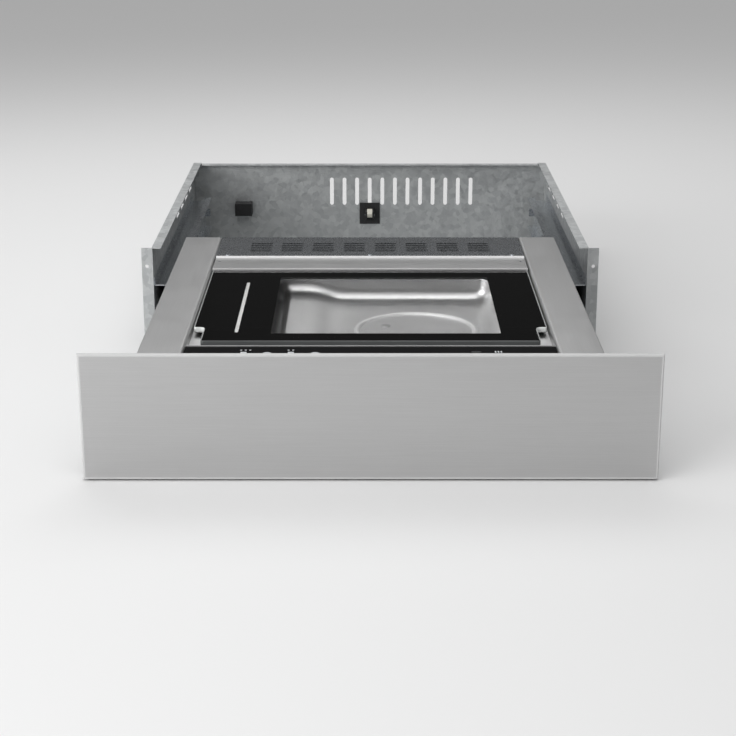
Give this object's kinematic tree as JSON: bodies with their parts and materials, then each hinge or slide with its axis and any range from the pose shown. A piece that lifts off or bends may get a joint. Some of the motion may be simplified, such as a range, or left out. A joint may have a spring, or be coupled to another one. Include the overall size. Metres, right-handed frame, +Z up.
{
  "type": "vacuum sealing drawer",
  "caption": "Built-in vacuum sealing drawer with steel front, hinged glass lid, deep-drawn chamber, sealing bar and telescopic slides.",
  "frame": {"origin": "middle of the niche's front edge, on the surface that the casing stands on", "axes": "+X to the right seen from the front, +Y into the cabinet, +Z up"},
  "size_m": [0.597, 1.021, 0.1385],
  "materials": {
    "brushed_steel": "satin brushed, horizontal grain",
    "drawn_steel": "satin, deep drawn",
    "galvanised": "galvanised sheet",
    "zinc_steel": "bright zinc plated",
    "screw_steel": "plated screw",
    "dark_sheet": "black powder coat",
    "black_plastic": "matt black moulded",
    "pale_plastic": "natural moulded",
    "black_glass": "black printed glass",
    "lid_glass": "clear toughened glass",
    "lid_print": "black ceramic print",
    "circuit_board": "green solder mask",
    "gasket_silicone": "matt grey silicone",
    "pale_silicone": "pale silicone",
    "hose_silicone": "translucent silicone",
    "rubber": "matt",
    "cast_aluminium": "die cast",
    "bar_aluminium": "anodised",
    "motor_paint": "dark paint",
    "transformer_core": "varnished laminations"
  },
  "bodies": {
    "casing": {"casing_base": "galvanised", "casing_back": "galvanised", "casing_side_left": "galvanised", "casing_side_right": "galvanised", "slide_spacer_left": "zinc_steel", "slide_spacer_right": "zinc_steel", "slide_outer_left": "zinc_steel", "slide_outer_right": "zinc_steel", "casing_screws": "screw_steel", "power_inlet": "black_plastic", "latch_housing": "black_plastic", "latch_pin": "screw_steel"},
    "drawer": {"latch_striker": "zinc_steel", "drawer_tray": "galvanised", "rear_cover": "zinc_steel", "cover_screws": "screw_steel", "control_glass": "black_glass", "control_carrier": "black_plastic", "control_board": "circuit_board", "vacuum_chamber": "drawn_steel", "deck_trim": "brushed_steel", "chamber_gasket": "gasket_silicone", "suction_strainer": "drawn_steel", "suction_port": "black_plastic", "vacuum_hose": "hose_silicone", "vacuum_pump": "cast_aluminium", "pump_motor": "motor_paint", "pump_mounts": "rubber", "valve_block": "pale_plastic", "transformer": "transformer_core", "power_board": "circuit_board", "lift_cylinders": "cast_aluminium", "lid_dampers": "black_plastic", "hinge_trough": "dark_sheet", "front_panel": "brushed_steel", "panel_back": "galvanised", "panel_buffers": "rubber", "slide_inner_left": "zinc_steel", "slide_inner_right": "zinc_steel", "side_cover_left": "brushed_steel", "side_cover_right": "brushed_steel", "chamber_support_left": "galvanised", "chamber_support_right": "galvanised", "hinge_bracket_left": "zinc_steel", "hinge_bracket_right": "zinc_steel"},
    "lid": {"lid_glass": "lid_glass", "lid_print": "lid_print", "counter_bar": "pale_silicone", "hinge_profile": "brushed_steel", "hinge_pins": "zinc_steel"},
    "seal_bar": {"sealing_bar": "bar_aluminium", "lift_pins": "zinc_steel"},
    "pawl": {"latch_pawl": "pale_plastic"},
    "slide_mid_left": {"slide_middle_left": "zinc_steel"},
    "slide_mid_right": {"slide_middle_right": "zinc_steel"},
    "cage_outer_left": {"ball_cage_outer_left": "pale_plastic"},
    "cage_outer_right": {"ball_cage_outer_right": "pale_plastic"},
    "cage_inner_left": {"ball_cage_inner_left": "pale_plastic"},
    "cage_inner_right": {"ball_cage_inner_right": "pale_plastic"}
  },
  "joints": [
    {"name": "drawer_slide", "type": "slide", "parent": "casing", "child": "drawer", "axis": [0, 1, 0], "range_m": [0, 0.44]},
    {"name": "lid_hinge", "type": "hinge", "parent": "drawer", "child": "lid", "pos_m": [0, -0.0445, 0.1185], "axis": [-1, 0, 0], "range_deg": [0, 80]},
    {"name": "seal_lift", "type": "slide", "parent": "drawer", "child": "seal_bar", "axis": [0, 0, 1], "range_m": [0, 0.0045]},
    {"name": "latch_turn", "type": "hinge", "parent": "casing", "child": "pawl", "pos_m": [0, 0.5458, 0.052], "axis": [1, 0, 0], "range_deg": [0, 35]},
    {"name": "slide_mid_left_travel", "type": "slide", "parent": "casing", "child": "slide_mid_left", "axis": [0, 1, 0], "range_m": [0, 0.22]},
    {"name": "cage_outer_left_travel", "type": "slide", "parent": "casing", "child": "cage_outer_left", "axis": [0, 1, 0], "range_m": [0, 0.11]},
    {"name": "cage_inner_left_travel", "type": "slide", "parent": "casing", "child": "cage_inner_left", "axis": [0, 1, 0], "range_m": [0, 0.33]},
    {"name": "slide_mid_right_travel", "type": "slide", "parent": "casing", "child": "slide_mid_right", "axis": [0, 1, 0], "range_m": [0, 0.22]},
    {"name": "cage_outer_right_travel", "type": "slide", "parent": "casing", "child": "cage_outer_right", "axis": [0, 1, 0], "range_m": [0, 0.11]},
    {"name": "cage_inner_right_travel", "type": "slide", "parent": "casing", "child": "cage_inner_right", "axis": [0, 1, 0], "range_m": [0, 0.33]}
  ],
  "couplings": [
    {"joint": "slide_mid_left_travel", "follows": "drawer_slide", "ratio": 0.5},
    {"joint": "cage_outer_left_travel", "follows": "drawer_slide", "ratio": 0.25},
    {"joint": "cage_inner_left_travel", "follows": "drawer_slide", "ratio": 0.75},
    {"joint": "slide_mid_right_travel", "follows": "drawer_slide", "ratio": 0.5},
    {"joint": "cage_outer_right_travel", "follows": "drawer_slide", "ratio": 0.25},
    {"joint": "cage_inner_right_travel", "follows": "drawer_slide", "ratio": 0.75}
  ]
}
